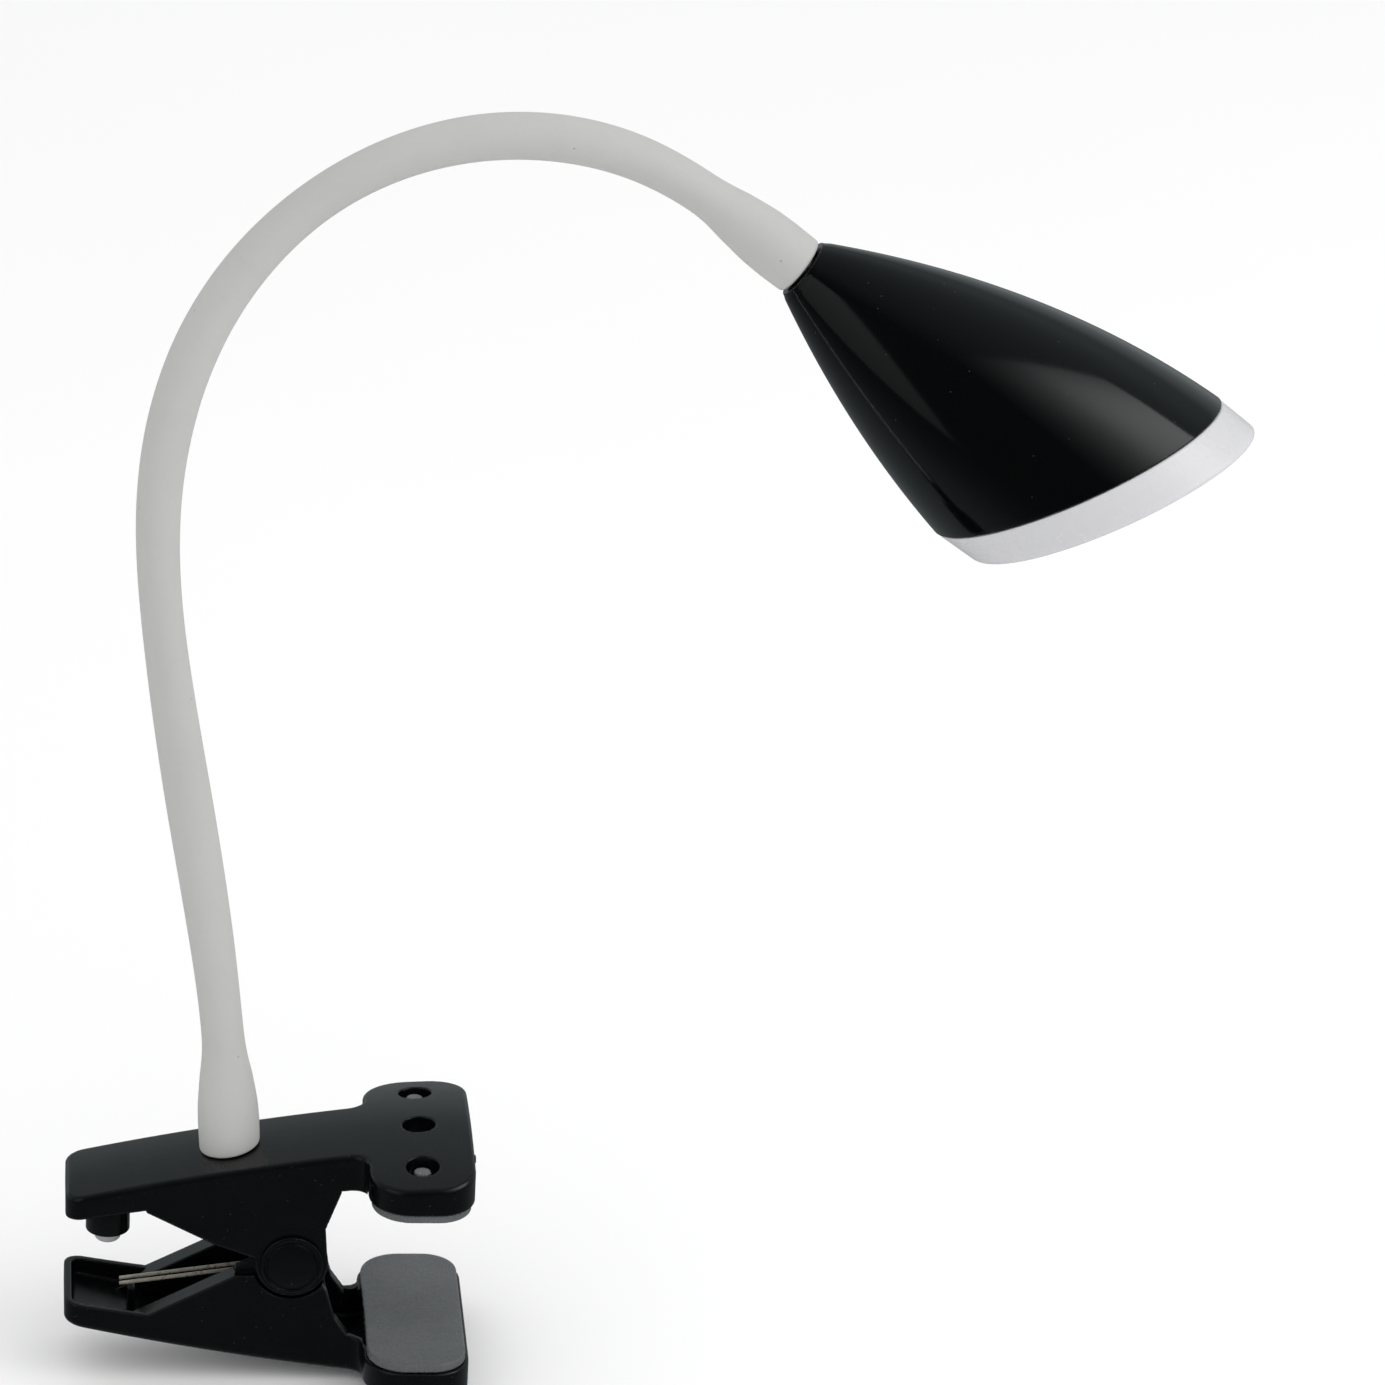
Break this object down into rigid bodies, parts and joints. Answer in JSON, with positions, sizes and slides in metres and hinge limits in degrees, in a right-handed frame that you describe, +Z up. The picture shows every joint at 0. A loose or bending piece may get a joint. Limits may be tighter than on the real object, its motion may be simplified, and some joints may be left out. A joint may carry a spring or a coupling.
{
  "type": "clip-on reading lamp",
  "caption": "Clip-on reading lamp: sprung two-arm clip with soft jaw pads, pale silicone gooseneck with flared cuffs and a slant-cut glossy black cone shade with opal diffuser.",
  "frame": {"origin": "middle of the upper jaw pad's flat underside, where it rests on the board", "axes": "+X along the clip from the handles towards the jaws, +Z up out of the board, +Y to the far side"},
  "size_m": [0.3073, 0.0964, 0.3385],
  "materials": {
    "satin_black": "satin black moulding",
    "soft_pad": "soft grey translucent silicone",
    "spring_steel": "drawn spring wire",
    "grey_button": "grey satin",
    "board_white": "white solder resist",
    "silicone": "pale matte silicone, fine specks",
    "core_steel": "wound steel strip",
    "zinc_plate": "zinc plated",
    "lead_white": "white insulation",
    "gloss_black": "glossy black",
    "opal": "opal translucent plastic",
    "aluminium": "plain sheet",
    "led_yellow": "phosphor over white package"
  },
  "bodies": {
    "base": {"upper_arm": "satin_black", "upper_pad": "soft_pad", "pivot_pin": "spring_steel", "pivot_cap_near": "satin_black", "pivot_cap_far": "satin_black", "torsion_spring": "spring_steel", "switch_barrel": "satin_black", "button_spring": "spring_steel", "switch_contacts": "board_white", "sleeve_0": "silicone", "core_0": "core_steel", "base_ferrule": "zinc_plate", "base_washer": "zinc_plate", "base_nut": "zinc_plate", "lead": "lead_white"},
    "lower_arm": {"lower_arm": "satin_black", "lower_pad": "soft_pad"},
    "button": {"switch_button": "grey_button"},
    "link_1": {"sleeve_1": "silicone", "core_1": "core_steel"},
    "link_2": {"sleeve_2": "silicone", "core_2": "core_steel"},
    "link_3": {"sleeve_3": "silicone", "core_3": "core_steel"},
    "link_4": {"sleeve_4": "silicone", "core_4": "core_steel"},
    "link_5": {"sleeve_5": "silicone", "core_5": "core_steel"},
    "link_6": {"sleeve_6": "silicone", "core_6": "core_steel"},
    "link_7": {"sleeve_7": "silicone", "core_7": "core_steel"},
    "head": {"sleeve_8": "silicone", "core_8": "core_steel", "head_ferrule": "zinc_plate", "head_washer": "zinc_plate", "head_nut": "zinc_plate", "shade": "gloss_black", "diffuser": "opal", "led_carrier": "aluminium", "led_board": "board_white", "led_1": "led_yellow", "led_2": "led_yellow", "led_3": "led_yellow", "led_4": "led_yellow", "led_5": "led_yellow", "led_6": "led_yellow", "carrier_screw_1": "zinc_plate", "carrier_screw_2": "zinc_plate", "carrier_screw_3": "zinc_plate"}
  },
  "joints": [
    {"name": "neck_bend_1", "type": "hinge", "parent": "base", "child": "link_1", "pos_m": [-0.0541, 0.00282, 0.0518], "axis": [0.0077, -0.9936, 0.1128], "range_deg": [-10, 15], "deforming": ["lead"]},
    {"name": "neck_side_1", "type": "hinge", "parent": "link_1", "child": "link_2", "pos_m": [-0.0612, 0.01001, 0.0948], "axis": [0.9866, 0.0283, 0.1605], "range_deg": [-15, 15]},
    {"name": "neck_bend_2", "type": "hinge", "parent": "link_2", "child": "link_3", "pos_m": [-0.0686, 0.01769, 0.1383], "axis": [0, -0.9848, 0.1736], "range_deg": [-10, 15]},
    {"name": "neck_side_2", "type": "hinge", "parent": "link_3", "child": "link_4", "pos_m": [-0.0714, 0.02541, 0.1821], "axis": [0.9962, -0.0151, -0.0859], "range_deg": [-15, 15]},
    {"name": "neck_bend_3", "type": "hinge", "parent": "link_4", "child": "link_5", "pos_m": [-0.061, 0.03276, 0.2238], "axis": [0, -0.9848, 0.1736], "range_deg": [-15, 20]},
    {"name": "neck_side_3", "type": "hinge", "parent": "link_5", "child": "link_6", "pos_m": [-0.0331, 0.03879, 0.258], "axis": [0.6061, -0.1381, -0.7833], "range_deg": [-20, 20]},
    {"name": "neck_bend_4", "type": "hinge", "parent": "link_6", "child": "link_7", "pos_m": [0.0075, 0.04183, 0.2752], "axis": [0, -0.9848, 0.1736], "range_deg": [-15, 20]},
    {"name": "neck_side_4", "type": "hinge", "parent": "link_7", "child": "head", "pos_m": [0.0509, 0.04103, 0.2707], "axis": [-0.3549, -0.1623, -0.9207], "range_deg": [-20, 20]},
    {"name": "clip_pivot", "type": "hinge", "parent": "base", "child": "lower_arm", "pos_m": [-0.0334, 0, -0.0211], "axis": [0, 1, 0], "range_deg": [-44, 12], "stiffness_Nm_per_rad": 0.16, "springref_deg": -80.21, "deforming": ["torsion_spring"]},
    {"name": "switch_press", "type": "slide", "parent": "base", "child": "button", "axis": [0, 0, 1], "range_m": [0, 0.0015], "stiffness_N_per_m": 800, "springref_m": -0.002, "deforming": ["button_spring"]}
  ],
  "couplings": [
    {"joint": "neck_bend_2", "follows": "neck_bend_1", "ratio": 1},
    {"joint": "neck_side_2", "follows": "neck_side_1", "ratio": 1},
    {"joint": "neck_bend_4", "follows": "neck_bend_3", "ratio": 1},
    {"joint": "neck_side_4", "follows": "neck_side_3", "ratio": 1}
  ]
}
